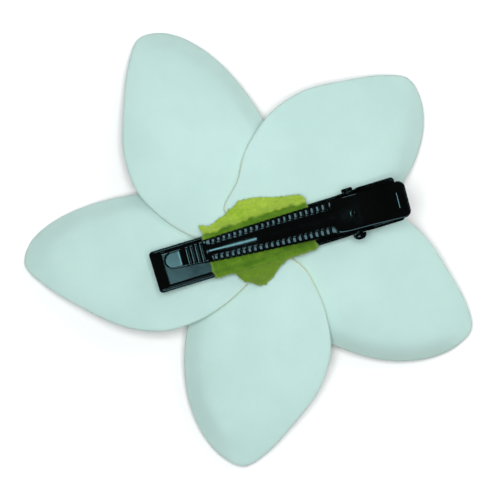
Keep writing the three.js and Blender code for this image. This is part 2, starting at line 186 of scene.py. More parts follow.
def sweep(points, radius, sides=12):
    """A closed tube along points, with its section carried along without twisting."""
    points = np.asarray(points, float)
    tangents = np.gradient(points, axis=0)
    tangents /= np.linalg.norm(tangents, axis=1)[:, None]
    normal = np.cross(tangents[0], (0.0, 0.0, 1.0))
    if np.linalg.norm(normal) < 1e-3:
        normal = np.cross(tangents[0], (0.0, 1.0, 0.0))
    rings = []
    turns = np.arange(sides) / sides * 2 * math.pi
    for point, tangent in zip(points, tangents):
        normal = normal - tangent * normal.dot(tangent)
        normal /= np.linalg.norm(normal)
        across = np.cross(tangent, normal)
        ring = np.outer(np.cos(turns), normal) + np.outer(np.sin(turns), across)
        rings.append(point + radius * ring)
    start = points[0] + (rings[0] - points[0]) * 0.6 - tangents[0] * radius * 0.3
    finish = points[-1] + (rings[-1] - points[-1]) * 0.6 + tangents[-1] * radius * 0.3
    return capped([start, *rings, finish])


def catmull_rom(points, samples, closed=False):
    """Evenly many samples of a centripetal spline through points of any dimension."""
    points = np.asarray(points, float)
    if closed:
        padded = np.vstack([points[-1], points, points[0], points[1]])
    else:
        padded = np.vstack([2 * points[0] - points[1], points, 2 * points[-1] - points[-2]])
    curve = []
    for p0, p1, p2, p3 in zip(padded, padded[1:], padded[2:], padded[3:]):
        knots = np.cumsum([0, *(np.linalg.norm(b - a) ** 0.5
                                for a, b in ((p0, p1), (p1, p2), (p2, p3)))])
        t = np.linspace(knots[1], knots[2], 12, endpoint=False)[:, None]
        t0, t1, t2, t3 = knots
        a1 = (t1 - t) / (t1 - t0) * p0 + (t - t0) / (t1 - t0) * p1
        a2 = (t2 - t) / (t2 - t1) * p1 + (t - t1) / (t2 - t1) * p2
        a3 = (t3 - t) / (t3 - t2) * p2 + (t - t2) / (t3 - t2) * p3
        b1 = (t2 - t) / (t2 - t0) * a1 + (t - t0) / (t2 - t0) * a2
        b2 = (t3 - t) / (t3 - t1) * a2 + (t - t1) / (t3 - t1) * a3
        curve.append((t2 - t) / (t2 - t1) * b1 + (t - t1) / (t2 - t1) * b2)
    curve = np.vstack([*curve, points[0] if closed else points[-1]])
    lengths = np.concatenate([[0], np.cumsum(np.linalg.norm(np.diff(curve, axis=0), axis=1))])
    at = np.linspace(0, lengths[-1], samples, endpoint=not closed)
    return np.stack([np.interp(at, lengths, column) for column in curve.T], 1)


def eased(pairs, x, reach=0.35):
    """The value at x of straight lines through pairs, with their corners softened."""
    xs, values = np.array(pairs, float).T
    steps = np.linspace(-reach, reach, 7)
    return float(np.mean(np.interp(x + steps, xs, values)))


def smoothstep(x, low, high):
    t = np.clip((x - low) / (high - low), 0, 1)
    return t * t * (3 - 2 * t)


def wobble(x, y, z, scale, seed=0.0):
    """Smooth noise from about -1 to 1, with features scale millimetres across."""
    return noise.noise(Vector((x / scale + seed, y / scale - seed, z / scale + 2 * seed)))


# ---------------------------------------------------------------- materials


class Shader:
    """A principled material with short ways to add the nodes that drive it."""

    def __init__(self, name, **sockets):
        self.material = bpy.data.materials.new(name)
        self.material.use_nodes = True
        self.nodes = self.material.node_tree.nodes
        self.links = self.material.node_tree.links
        self.shader = self.nodes["Principled BSDF"]
        for socket, value in sockets.items():
            self.shader.inputs[socket.replace("_", " ")].default_value = value
        self.place = self.nodes.new("ShaderNodeTexCoord").outputs["Object"]

    def link(self, source, target):
        self.links.new(source, target)

    def drive(self, source, socket):
        self.link(source, self.shader.inputs[socket])

    def noise(self, per_mm, detail=4.0, roughness=0.55, stretch=None, distortion=0.0):
        node = self.nodes.new("ShaderNodeTexNoise")
        node.inputs["Scale"].default_value = per_mm / MM
        node.inputs["Detail"].default_value = detail
        node.inputs["Roughness"].default_value = roughness
        node.inputs["Distortion"].default_value = distortion
        self.link(self.stretched(stretch) if stretch else self.place, node.inputs["Vector"])
        return node.outputs["Fac"]

    def cells(self, per_mm):
        node = self.nodes.new("ShaderNodeTexVoronoi")
        node.inputs["Scale"].default_value = per_mm / MM
        self.link(self.place, node.inputs["Vector"])
        return node.outputs["Distance"]

    def stretched(self, scale):
        node = self.nodes.new("ShaderNodeMapping")
        node.inputs["Scale"].default_value = scale
        self.link(self.place, node.inputs["Vector"])
        return node.outputs["Vector"]

    def value(self, name):
        node = self.nodes.new("ShaderNodeAttribute")
        node.attribute_name = name
        return node.outputs["Fac"]

    def facing(self):
        """0 where a surface faces the eye and 1 where it turns edge on."""
        return self.nodes.new("ShaderNodeLayerWeight").outputs["Facing"]

    def spread(self, source, low, high, to_low=0.0, to_high=1.0):
        node = self.nodes.new("ShaderNodeMapRange")
        node.interpolation_type = "SMOOTHSTEP"
        for socket, number in (("From Min", low), ("From Max", high),
                               ("To Min", to_low), ("To Max", to_high)):
            node.inputs[socket].default_value = number
        self.link(source, node.inputs["Value"])
        return node.outputs["Result"]

    def math(self, operation, a, b):
        node = self.nodes.new("ShaderNodeMath")
        node.operation = operation
        for socket, source in zip(node.inputs, (a, b)):
            if isinstance(source, (int, float)):
                socket.default_value = source
            else:
                self.link(source, socket)
        return node.outputs["Value"]

    def mix(self, factor, a, b, blend="MIX"):
        node = self.nodes.new("ShaderNodeMix")
        node.data_type = "RGBA"
        node.blend_type = blend
        for socket, source in ((0, factor), (6, a), (7, b)):
            if isinstance(source, (int, float)):
                node.inputs[socket].default_value = source
            elif isinstance(source, tuple):
                node.inputs[socket].default_value = (*source, 1.0)
            else:
                self.link(source, node.inputs[socket])
        return node.outputs[2]

    def bump(self, height, depth_mm, below=None):
        node = self.nodes.new("ShaderNodeBump")
        node.inputs["Distance"].default_value = depth_mm * MM
        self.link(height, node.inputs["Height"])
        if below is not None:
            self.link(below, node.inputs["Normal"])
        return node.outputs["Normal"]


def foam_material():
    """Pressed EVA foam: a white satin skin full of fine pores, with a yellow throat in front and
    painted shade on each petal's clockwise edge.
    """
    s = Shader("petal_foam", Roughness=0.6, Specular_IOR_Level=0.35, Subsurface_Weight=0.3,
               Subsurface_Scale=0.0012, Sheen_Weight=0.12, Sheen_Roughness=0.5)
    s.shader.inputs["Subsurface Radius"].default_value = (1.0, 0.95, 0.8)
    mottle = s.spread(s.noise(0.09, 3.0), 0.35, 0.65)
    skin = s.mix(mottle, (0.515, 0.715, 0.675), (0.545, 0.745, 0.705))
    speck = s.spread(s.noise(1.6, 2.0), 0.62, 0.78, 0.0, 0.35)
    skin = s.mix(speck, skin, (0.49, 0.69, 0.65))
    # Painted shade: the clockwise flank darkens towards its edge, where it curls away from the
    # light.
    skin = s.mix(s.math("MULTIPLY", s.value("edge"), 0.7), skin, (0.37, 0.49, 0.43))
    cream = s.math("MULTIPLY", s.value("rim"), s.spread(s.value("along"), 0.25, 0.75, 0.08, 0.02))
    skin = s.mix(cream, skin, (0.58, 0.64, 0.46))
    ragged = s.math("ADD", s.value("along"), s.spread(s.noise(0.35, 5.0), 0.2, 0.8, -0.06, 0.06))
    throat = s.math("MULTIPLY", s.spread(ragged, 0.16, 0.52, 1.0, 0.0), s.value("front"))
    deep = s.spread(ragged, 0.05, 0.3, 1.0, 0.0)
    yellow = s.mix(deep, (0.90, 0.72, 0.12), (0.88, 0.50, 0.03))
    s.drive(s.mix(throat, skin, yellow), "Base Color")
    s.drive(s.spread(s.noise(0.8, 4.0), 0.3, 0.7, 0.52, 0.68), "Roughness")
    pores = s.bump(s.cells(4.2), 0.012)
    s.drive(s.bump(s.noise(0.5, 5.0, 0.6), 0.03, pores), "Normal")
    return s.material


def enamel_material():
    """Black gloss enamel baked on stamped steel, with faint orange peel and thin scuffs."""
    s = Shader("black_enamel", Metallic=0.0, Coat_Roughness=0.06)
    dull = s.spread(s.facing(), 0.28, 0.55, 1.0, 0.0)
    s.drive(s.math("MULTIPLY", dull, 0.5), "Specular IOR Level")
    s.drive(s.math("MULTIPLY", dull, 0.6), "Coat Weight")
    cloud = s.noise(0.25, 4.0)
    s.drive(s.mix(cloud, (0.0012, 0.0014, 0.0014), (0.0035, 0.004, 0.004)), "Base Color")
    scuff = s.spread(s.noise(0.9, 6.0, 0.7, stretch=(0.25, 3.0, 1.0)), 0.62, 0.8)
    s.drive(s.math("ADD", s.spread(cloud, 0.3, 0.7, 0.07, 0.13), s.math("MULTIPLY", scuff, 0.2)),
            "Roughness")
    s.drive(s.bump(s.noise(1.0, 3.0), 0.0012), "Normal")
    return s.material


def steel_material():
    """Drawn spring wire, with die lines along it and a little oil."""
    s = Shader("spring_steel", Metallic=1.0)
    tone = s.noise(1.2, 3.0)
    s.drive(s.mix(tone, (0.30, 0.30, 0.31), (0.50, 0.50, 0.50)), "Base Color")
    s.drive(s.spread(s.noise(3.0, 4.0), 0.3, 0.7, 0.22, 0.42), "Roughness")
    s.drive(s.bump(s.noise(12.0, 2.0), 0.003), "Normal")
    return s.material


def felt_material():
    """Lime green needle felt: matted fibres, thin and thick places, cut edges lightened as a
    painted highlight, and painted light and shade across the patch.
    """
    s = Shader("green_fabric", Roughness=0.9, Specular_IOR_Level=0.15, Sheen_Weight=0.35,
               Sheen_Roughness=0.45, Subsurface_Weight=0.15, Subsurface_Scale=0.0006)
    s.shader.inputs["Subsurface Radius"].default_value = (0.7, 1.0, 0.2)
    s.shader.inputs["Sheen Tint"].default_value = (0.7, 0.9, 0.35, 1.0)
    cloud = s.spread(s.noise(0.35, 4.0), 0.3, 0.7)
    fibre = s.noise(3.2, 6.0, 0.7, stretch=(1.0, 0.35, 1.0), distortion=1.2)
    cross = s.noise(3.6, 6.0, 0.7, stretch=(0.3, 1.0, 1.0), distortion=1.2)
    # Painted light and shade: a shaded leaf green and a lit lime of the same felt, mixed by the
    # vertex value that says how lit each place is.
    shaded_green = s.mix(cloud, (0.060, 0.165, 0.010), (0.090, 0.220, 0.014))
    lit_green = s.mix(cloud, (0.330, 0.520, 0.045), (0.420, 0.600, 0.070))
    base = s.mix(s.value("painted_light"), shaded_green, lit_green)
    matted = s.spread(s.math("MULTIPLY", fibre, cross), 0.14, 0.36, 0.6, 1.0)
    base = s.mix(1.0, base, s.mix(matted, (0.3, 0.3, 0.3), (1.0, 1.0, 1.0)), "MULTIPLY")
    # Painted highlight: the cut edges are lightened where they catch the light.
    base = s.mix(s.math("MULTIPLY", s.value("edge"), 0.25), base, (0.45, 0.60, 0.16))
    s.drive(base, "Base Color")
    tufts = s.bump(fibre, 0.10)
    s.drive(s.bump(cross, 0.10, tufts), "Normal")
    return s.material


def glue_material():
    """Set hot-melt glue: milky, faintly yellow and waxy."""
    s = Shader("glue", Roughness=0.3, Subsurface_Weight=0.7, Subsurface_Scale=0.002,
               Specular_IOR_Level=0.45)
    s.shader.inputs["Subsurface Radius"].default_value = (1.0, 0.9, 0.6)
    s.drive(s.mix(s.spread(s.noise(0.6, 3.0), 0.3, 0.7), (0.74, 0.74, 0.62), (0.82, 0.82, 0.74)),
            "Base Color")
    s.drive(s.spread(s.noise(1.5, 3.0), 0.3, 0.7, 0.22, 0.45), "Roughness")
    s.drive(s.bump(s.noise(0.9, 3.0), 0.05), "Normal")
    return s.material


def floor_material():
    """A matt white table that is seen only from above."""
    s = Shader("studio_floor", Roughness=0.9, Specular_IOR_Level=0.1)
    s.drive(s.mix(s.noise(0.01, 2.0), (0.94, 0.94, 0.94), (0.96, 0.96, 0.96)), "Base Color")
    back = s.nodes.new("ShaderNodeNewGeometry").outputs["Backfacing"]
    clear = s.nodes.new("ShaderNodeBsdfTransparent").outputs["BSDF"]
    either = s.nodes.new("ShaderNodeMixShader")
    s.link(back, either.inputs[0])
    s.link(s.shader.outputs["BSDF"], either.inputs[1])
    s.link(clear, either.inputs[2])
    s.link(either.outputs["Shader"], s.nodes["Material Output"].inputs["Surface"])
    return s.material


FOAM = foam_material()
ENAMEL = enamel_material()
STEEL = steel_material()
FELT = felt_material()
GLUE = glue_material()

# ---------------------------------------------------------------- petals

PETAL_OUTLINE = [
    (1.9, 2.4), (3.4, 5.4), (5.4, 7.6), (9.5, 10.0), (14.0, 11.6), (20.0, 12.3), (26.5, 10.4),
    (33.0, 5.8), (38.2, 1.2), (40.5, -2.5), (39.0, -6.3), (35.4, -9.6), (29.5, -12.2),
    (22.5, -13.2), (16.0, -12.7), (10.5, -10.4), (5.4, -6.4), (1.9, -2.4),
]
# How far each of the outline's first points moves for a flare of one.
FLARE_PULL = [(0, 0), (-1.2, 0.85), (0, 0.63), (0, 0.44), (0, 0.23), (0, 0.04)]
# Each petal's name, turn in degrees, length and width as shares of the outline's, lean of the
# apex and flare of the root in millimetres, and how much painted shade darkens its clockwise edge.
PETALS = [
    ("petal_upper_right", 35.6, 0.935, 1.01, -0.3, 3.4, 0.1),
    ("petal_top", 112.3, 1.025, 1.01, -2.6, 0.8, 0.2),
    ("petal_left", 177.3, 1.04, 0.97, -3.7, 0.4, 0.1),
    ("petal_bottom", 250.8, 0.99, 1.01, 0.5, -0.2, 0.1),
    ("petal_lower_right", 322.0, 0.98, 1.0, 0.9, 1.0, 0.5),
]
OUTLINE_SAMPLES = 200
PETAL_CENTRE = np.array([20.0, 0.0])
RIM_SHARE = 0.03
RIM_TILTS = np.radians([65, 40, 15, -15, -40, -65])
DENT_SIZE = 9.0
DENT_DEPTH = 0.12


def petal_height(x, y):
    """The height of a petal's middle surface at a point of its own plan."""
    radius = np.hypot(x, y)
    turn = np.minimum(np.arctan2(y, x), PINWHEEL_TURN)
    dome = CENTRE_HEIGHT - DOME_SLOPE * radius - DOME_BEND * radius * radius
    throat = THROAT_RISE * np.exp(-radius / 3)
    pitch = PINWHEEL_PITCH * (0.65 + 0.35 * smoothstep(radius, 1, 7))
    roll = EDGE_ROLL * smoothstep(-y / PETAL_HALF_WIDTH, 0.35, 1.25) ** 1.2
    sag = EDGE_SAG * smoothstep(y / PETAL_HALF_WIDTH, 0.3, 1)
    return dome + throat + pitch * turn - roll - sag


def edge_curl(x, y, share):
    """How far a petal's clockwise flank curls down near its edge, and its apex a little."""
    free = np.maximum(0.25 * smoothstep(x, 24, 36), smoothstep(-y, 2, 8))
    return EDGE_CURL * free * smoothstep(share, 0.72, 1) ** 1.5


def petal_half_thickness(x, share):
    middle = PETAL_ROOT_THICKNESS + (PETAL_THICKNESS - PETAL_ROOT_THICKNESS) * smoothstep(x, 2, 12)
    return np.minimum(middle, middle + (PETAL_EDGE - middle) * share**4) / 2


def petal_outline(lean, flare):
    """The points round a petal whose apex leans and whose anticlockwise root flares."""
    corners = np.array(PETAL_OUTLINE, float)
    corners[:, 1] += lean * (corners[:, 0] / PETAL_LENGTH) ** 3
    corners[:len(FLARE_PULL)] += flare * np.array(FLARE_PULL)
    return catmull_rom(corners, OUTLINE_SAMPLES, closed=True)


def make_petal(name, turn, long, wide, lean, flare, painted_edge_shade):
    outline = petal_outline(lean, flare)
    flat = 1 - RIM_SHARE - (1 - np.linspace(0.03, 1, 22)) ** 1.3 * (1 - RIM_SHARE)
    rings = [(share, 1.0) for share in flat]
    rings += [(1 - RIM_SHARE * (1 - math.cos(tilt)), math.sin(tilt)) for tilt in RIM_TILTS]
    rings += [(share, -1.0) for share in flat[::-1]]
    vertices, along, rim, front, edge = [], [], [], [], []
    for share, side in rings:
        plan = PETAL_CENTRE + (outline - PETAL_CENTRE) * share
        x, y = plan.T
        dents = np.array([wobble(px, py, turn, DENT_SIZE) for px, py in plan])
        dents *= DENT_DEPTH * smoothstep(x, 9, 20)
        middle = petal_height(x, y) - edge_curl(x, y, share)
        z = middle + side * petal_half_thickness(x, share) + dents
        vertices.append(np.stack([x * long, y * wide, z], 1))
        along.append(np.hypot(x, y) / PETAL_LENGTH)
        rim.append(np.full(len(x), smoothstep(share, 0.93, 0.995)))
        front.append(np.full(len(x), 0.5 - 0.5 * side))
        # Painted shade on the clockwise flank's edge, stronger on some petals than others.
        edge.append(painted_edge_shade * smoothstep(-y, 2, 8) * smoothstep(share, 0.8, 0.96))
    vertices, faces = capped(vertices)
    obj = piece(name + "_foam", turned(vertices, math.radians(turn)), faces, FOAM,
                (FLOWER_X, FLOWER_Y, 0))
    ends = ([PETAL_CENTRE[0] / PETAL_LENGTH] * 2, [0, 0], [0, 1], [0, 0])
    labels = ("along", "rim", "front", "edge")
    for label, values, end in zip(labels, (along, rim, front, edge), ends):
        add_values(obj, label, np.concatenate([*values, end]))
    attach(obj, "flower")
    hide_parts(name)


for row in PETALS:
    make_petal(*row)

# ---------------------------------------------------------------- glue


def make_flower_core():
    """The bead of glue in the throat, a little lumpy."""
    profile = [(0, -1.2), (0.45, -1.17), (0.72, -1.0), (0.9, -0.6), (0.95, 0), (0.97, 0.7),
               (0.9, 1.1), (0.65, 1.38), (0.3, 1.47), (0, 1.5)]
    vertices, faces = lathe(catmull_rom(profile, 30), 40)
    lumps = np.array([1 - 0.06 * abs(wobble(*point, 0.7)) for point in vertices])
    vertices[:, :2] *= lumps[:, None]
    obj = piece("flower_core_glue", vertices, faces, GLUE,
                (FLOWER_X, FLOWER_Y, CENTRE_HEIGHT))
    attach(obj, "flower")
    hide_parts("flower_core")


def make_glue_bed():
    """The squeezed bed of glue under the clip, with an uneven edge."""
    low, high = box_of("glue_bed")
    centre, half = (low + high) / 2, (high - low) / 2
    profile = [(0, -1), (0.8, -0.98), (0.93, -0.6), (1.0, 0.0), (0.97, 0.6), (0.9, 1.0), (0, 1.0)]
    vertices, faces = lathe(catmull_rom(profile, 36), 96)
    for i, (x, y, z) in enumerate(vertices):
        edge = 1 - 0.10 * (0.5 + 0.5 * wobble(2 * x, 2 * y, 0.2 * z, 0.5))
        vertices[i] = (x * edge * half[0], y * edge * half[1], z * half[2])
    obj = piece("glue_bed_hotmelt", vertices, faces, GLUE, centre)
    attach(obj, "flower")
    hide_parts("glue_bed")


make_flower_core()
make_glue_bed()

# ---------------------------------------------------------------- clip base

CLIP_ORIGIN = (CLIP_X, CLIP_Y, CLIP_BOTTOM)
EAR_RADIUS = 1.7
EAR_FLARE = [(EAR_RADIUS, PIN_HEIGHT), (1.95, 1.55), (2.3, 1.1), (2.9, 0.0)]
THUMB_RIM_DROP = 0.42
NOSE_LENGTH = 2.0
NOSE_RISE = 0.55
BASE_CORNER = 0.7
WALL = 0.45
FOOT_ROUND = 0.28
KNEE_HEIGHT = 0.62
RIM_ROUND = 0.12
RIM_FALL = 0.05
FILLET = 0.2
THUMB_SPLAY = 0.35


def arc(centre, radius, start, end, steps):
    """Points on a circle from start to end degrees."""
    turns = np.radians(np.linspace(start, end, steps))
    return [(centre[0] + radius * math.cos(t), centre[1] + radius * math.sin(t)) for t in turns]


def ear_height(x):
    """The top edge of the base's wall: an ear round the rivet that flares into the rim."""
    if abs(x) < EAR_RADIUS:
        return PIN_HEIGHT + math.sqrt(EAR_RADIUS**2 - x * x)
    rim = RIM_HEIGHT - THUMB_RIM_DROP * float(smoothstep(x, 2.2, RIM_END))
    return max(rim, float(np.interp(abs(x), *np.array(EAR_FLARE).T)))


def nose_lift(x):
    """How far the tray's floor has risen into its end wall."""
    return NOSE_RISE * float(smoothstep(x, BASE_NOSE + NOSE_LENGTH, BASE_NOSE)) ** 0.8


def base_section(x):
    """One cross-section of the tray, as a closed ring of (y, z)."""
    into_corner = max(BASE_CORNER - min(x - BASE_NOSE, BASE_THUMB - x), 0)
    tuck = BASE_CORNER - math.sqrt(max(BASE_CORNER**2 - into_corner**2, 0))
    half = BASE_HALF_WIDTH - tuck
    foot = half - WALL
    lift = nose_lift(x)
    floor = lift + SHEET
    top = max(ear_height(x), floor)
    knee = max(min(lift + KNEE_HEIGHT, top - 0.3), lift + 0.2)
    outer = [(foot - FOOT_ROUND, lift)]
    outer += arc((foot - 0.25, lift + FOOT_ROUND), FOOT_ROUND, -80, -25, 5)
    outer.append((half - 0.12, knee))
    outer += arc((half - RIM_ROUND, top - RIM_FALL - RIM_ROUND), RIM_ROUND, 0, 82, 5)
    drop = min(1, 0.6 * (top - floor) / RIM_ROUND)
    inner = [(y, top - (top - z) * drop)
             for y, z in arc((foot + RIM_ROUND, top - RIM_ROUND), RIM_ROUND, 98, 180, 5)]
    inner += [(foot - 0.12, floor + 0.04 * drop), (foot - FILLET, floor)]
    near_outer = [(-y, z) for y, z in outer[::-1]]
    near_inner = [(-y, z) for y, z in inner[::-1]]
    splay = THUMB_SPLAY * float(smoothstep(x, 0.5, 2.4))
    outer, inner = ([(y + splay, z) for y, z in side] for side in (outer, inner))
    across = np.linspace(-1, 1, 15)[1:-1]
    under = [(y * (foot - FOOT_ROUND), lift) for y in across]
    over = [(-y * (foot - FILLET), floor) for y in across]
    return [*outer, *inner, *over, *near_inner, *near_outer, *under]


def make_clip_base():
    xs = np.concatenate([
        BASE_NOSE + 0.02 + 2.2 * np.linspace(0, 1, 26) ** 1.5,
        np.arange(BASE_NOSE + 2.5, -3.2, 0.6),
        np.arange(-3.0, 3.4, 0.08),
        np.arange(3.6, BASE_THUMB - 1.2, 0.4),
        BASE_THUMB - 0.02 - 1.1 * np.linspace(1, 0, 16) ** 1.5,
    ])
    rings = [[(x, y, z) for y, z in base_section(x)] for x in xs]
    vertices, faces = capped(rings)
    obj = piece("clip_base_enamel", vertices, faces, ENAMEL, CLIP_ORIGIN)
    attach(obj, "flower")
    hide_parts("clip_base")


# ---------------------------------------------------------------- toothed lever

# Heights and widths along the lever, as pairs of x and millimetres.
LEVER_TOP = [(LEVER_TIP, 1.42), (-31.1, 1.44), (-28.6, 1.9), (-26.4, 2.42), (-22, 2.66),
             (-17, 2.95), (-3, 4.6), (1.5, 5.25), (8.2, 7.1), (LEVER_THUMB, 7.58)]
LEVER_EDGE = [(LEVER_TIP, 0.75), (-30.6, 0.7), (-28.4, 0.75), (-26.4, 1.6),
              (-5, 2.0), (-2.4, 2.9), (1.6, 3.9), (8.2, 6.2), (LEVER_THUMB, 6.85)]
LEVER_HALF = [(LEVER_TIP, 1.5), (-32.6, 1.58), (-28.4, 1.78), (-26.6, 2.0), (-22.4, 2.28),
              (-12.3, 2.72), (-3.0, LEVER_HALF_WIDTH), (3.0, LEVER_HALF_WIDTH),
              (LEVER_THUMB, LEVER_HALF_WIDTH + 0.2)]
SHOULDER_WIDTH = [(LEVER_TIP, 0.36), (-31.6, 0.36), (-27.2, 0.45), (-25.8, 1.1), (-15, 1.25),
                  (-4, 1.55), (-3, 0.55), (-1.5, 0.3), (LEVER_THUMB, 0.25)]
CHAMFER = [(-27.2, 0.0), (-25.9, 1.0), (-3.7, 1.0), (-3.3, 0.0)]
CROWN = [(-27.2, 0.0), (-26.2, 0.1), (-24.0, 0.09), (-20.0, 0.075), (-17.5, 0.085),
         (-15.0, 0.2), (-2.5, 0.17), (4, 0.0)]
RIB_STATIONS = [0, 0.02, 0.06, 0.12, 0.2, 0.3, 0.4, 0.5, 0.6, 0.7, 0.8, 0.88, 0.94, 0.98]
LEVER_EAR_RADIUS = 1.5
TIP_ROUND = 1.5
THUMB_ROUND = 1.3
LAST_TOOTH = FIRST_TOOTH + TOOTH_COUNT * TOOTH_PITCH
RIB_HEIGHT = 0.2
CORNER = 0.1
RIB_WAIST = 0.06
TOOTH_HEIGHT = 0.42
THUMB_BAR = 7.95
THUMB_BAR_HALF = 1.6
THUMB_BAR_WIDTH = 0.2
THUMB_BAR_HEIGHT = 0.05
DIMPLE = (0.1, -0.28)
DIMPLE_RADIUS = 0.72
DIMPLE_DEPTH = 0.4
GRIP_RIBS = [-29.97 + i * 0.85 for i in range(5)]
GRIP_RIB_HEIGHT = 0.09
GRIP_RIB_TILT = 0.03
GRIP_RIB_CURVE = 0.4
GRIP_RIB_SIDES = ((0.2, 0.42), (1, 0))
ROOF_STEPS = 36
FLANK_STEPS = 6


def inside_outline(x, y, half):
    """How far a point lies inside the lever's outline, with its round tip and thumb corners."""
    depths = []
    for along, radius in ((x - LEVER_TIP, TIP_ROUND), (LEVER_THUMB - x, THUMB_ROUND)):
        radius = min(radius, half)
        qx, qy = radius - along, abs(y) - (half - radius)
        depths.append(radius - math.hypot(max(qx, 0), max(qy, 0)) - min(max(qx, qy), 0))
    return min(depths)


def outline_half(x):
    """The lever's half width at a station, with its rounded ends."""
    half = eased(LEVER_HALF, x)
    for along, radius in ((x - LEVER_TIP, TIP_ROUND), (LEVER_THUMB - x, THUMB_ROUND)):
        radius = min(radius, half)
        short = max(radius - along, 0)
        half -= radius - math.sqrt(max(radius**2 - short**2, 0))
    return max(half, 0.1)


def rib_wave(x):
    """The row of round ribs, one to a tooth: 1 on a rib's crest and 0 in a sharp valley."""
    if not FIRST_TOOTH < x < LAST_TOOTH:
        return 0.0
    phase = ((x - FIRST_TOOTH) / TOOTH_PITCH) % 1
    return 1 - abs(2 * phase - 1) ** 3.2


def pressed_relief(x, y):
    """What is pressed into the top: grip ribs at the tip, a locating dimple and a thumb bar."""
    relief = 0.0
    for centre in GRIP_RIBS:
        past = x - centre
        crest = GRIP_RIB_HEIGHT + GRIP_RIB_TILT * past - GRIP_RIB_CURVE * past * past
        level = eased(LEVER_TOP, centre) + crest - eased(LEVER_TOP, x)
        relief += level * float(np.interp(abs(past), *GRIP_RIB_SIDES))
    away = math.dist((x, y), DIMPLE) / DIMPLE_RADIUS
    if away < 1:
        relief -= DIMPLE_DEPTH * (1 - float(smoothstep(away, -0.75, 1)) ** 0.8)
    past = x - THUMB_BAR
    bar = float(smoothstep(past, -0.12, 0)) * max(0.0, 1 - max(past, 0) / THUMB_BAR_WIDTH)
    ends = float(smoothstep(abs(y), THUMB_BAR_HALF, THUMB_BAR_HALF - 0.15))
    return relief + THUMB_BAR_HEIGHT * bar * ends


def roof_height(x, y, half, corner=True):
    """The lever's outer surface: a crowned roof, sloping ribbed shoulders and a corner."""
    width = min(eased(SHOULDER_WIDTH, x), 0.9 * half)
    chamfer = float(np.interp(x, *np.array(CHAMFER).T))
    depth = inside_outline(x, y, eased(LEVER_HALF, x))
    into = min(max(width - depth, 0.0), width)
    slope = into * (0.34 + 0.24 * into / width)
    if corner:
        slope += CORNER - math.sqrt(CORNER**2 - max(into - width + CORNER, 0) ** 2)
    arch = 0.85 * width * (1 - math.sqrt(max(1 - (into / width) ** 2, 0)))
    crown_half = max(half - width, 0.3)
    crown = float(np.interp(x, *np.array(CROWN).T)) * max(0.0, 1 - (y / crown_half) ** 2)
    return eased(LEVER_TOP, x) + crown - chamfer * slope - (1 - chamfer) * arch


def tooth_edge(x):
    """The lever's lower edge: teeth along the jaw and an ear round the rivet."""
    edge = eased(LEVER_EDGE, x)
    if FIRST_TOOTH < x < LAST_TOOTH:
        phase = ((x - FIRST_TOOTH) / TOOTH_PITCH) % 1
        edge += TOOTH_HEIGHT * abs(2 * phase - 1) ** 1.2 - 0.04
    if abs(x) < LEVER_EAR_RADIUS:
        edge = min(edge, PIN_HEIGHT - math.sqrt(LEVER_EAR_RADIUS**2 - x * x))
    return edge


def lever_section(x):
    """One cross-section of the lever's channel, as a closed ring of (y, z)."""
    half, edge, wave = outline_half(x), tooth_edge(x), rib_wave(x)
    width = min(eased(SHOULDER_WIDTH, x), 0.9 * half)
    waist = half - RIB_WAIST * (1 - wave) * (FIRST_TOOTH < x < LAST_TOOTH)
    top = max(roof_height(x, half, half), edge + 0.12)
    outer = [(waist, z) for z in np.linspace(edge + 0.08, top, FLANK_STEPS)[:-1]]
    for share in np.linspace(0, 1, ROOF_STEPS):
        depth = half * share**1.7
        y = half - depth
        rib = wave * RIB_HEIGHT * float(smoothstep(width - depth, -0.05, 0.2))
        rib *= 0.3 + 0.7 * float(smoothstep(depth, 0.1, 0.35))
        tuck = (half - waist) * float(smoothstep(depth, 0.3, 0))
        z = max(roof_height(x, y, half), edge + 0.12) + rib + pressed_relief(x, y)
        outer.append((y - tuck, z))
    mirrored = []
    for y, z in outer[::-1][1:]:
        shift = pressed_relief(x, -y) - pressed_relief(x, y)
        mirrored.append((-y, z + shift))
    hollow = max(waist - SHEET, 0.04)
    ends = min(x - LEVER_TIP, LEVER_THUMB - x)
    opened = float(smoothstep(ends, 0.35, 0.65))
    inner = []
    for y in np.linspace(-1, 1, 2 * ROOF_STEPS - 1) * hollow:
        roof = roof_height(x, y, half, corner=False) - SHEET
        inner.append((float(y), edge + 0.08 + max(roof - edge - 0.08, 0.02) * opened))
    lip = [(waist - 0.12, edge), (waist - 0.03, edge + 0.02)]
    inner_lip = [(hollow, edge + 0.08), (hollow + 0.02, edge + 0.02)]
    far = [(-y, z) for y, z in lip[::-1]] + [(-y, z) for y, z in inner_lip[::-1]]
    return [*outer, *mirrored, *far, *inner, *inner_lip, *lip]


def make_clip_lever():
    ends = np.linspace(0, 1, 26) ** 1.8
    xs = np.concatenate([
        LEVER_TIP + 0.012 + 1.5 * ends,
        np.arange(LEVER_TIP + 1.6, FIRST_TOOTH - 0.02, 0.07),
        np.add.outer(FIRST_TOOTH + np.arange(TOOTH_COUNT) * TOOTH_PITCH,
                     np.array(RIB_STATIONS) * TOOTH_PITCH).ravel(),
        np.arange(LAST_TOOTH, 2.0, 0.08),
        np.arange(2.0, 7.3, 0.25),
        np.arange(7.35, LEVER_THUMB - 1.25, 0.06),
        LEVER_THUMB - 0.012 - 1.2 * ends[::-1],
    ])
    xs = np.unique(xs.round(4))
    rings = [[(x, y, z) for y, z in lever_section(x)] for x in xs]
    vertices, faces = capped(rings)
    obj = piece("clip_lever_enamel", turned(vertices, LEVER_SKEW), faces, ENAMEL, CLIP_ORIGIN)
    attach(obj, "lever")
    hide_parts("clip_lever")


# ---------------------------------------------------------------- rivet and spring


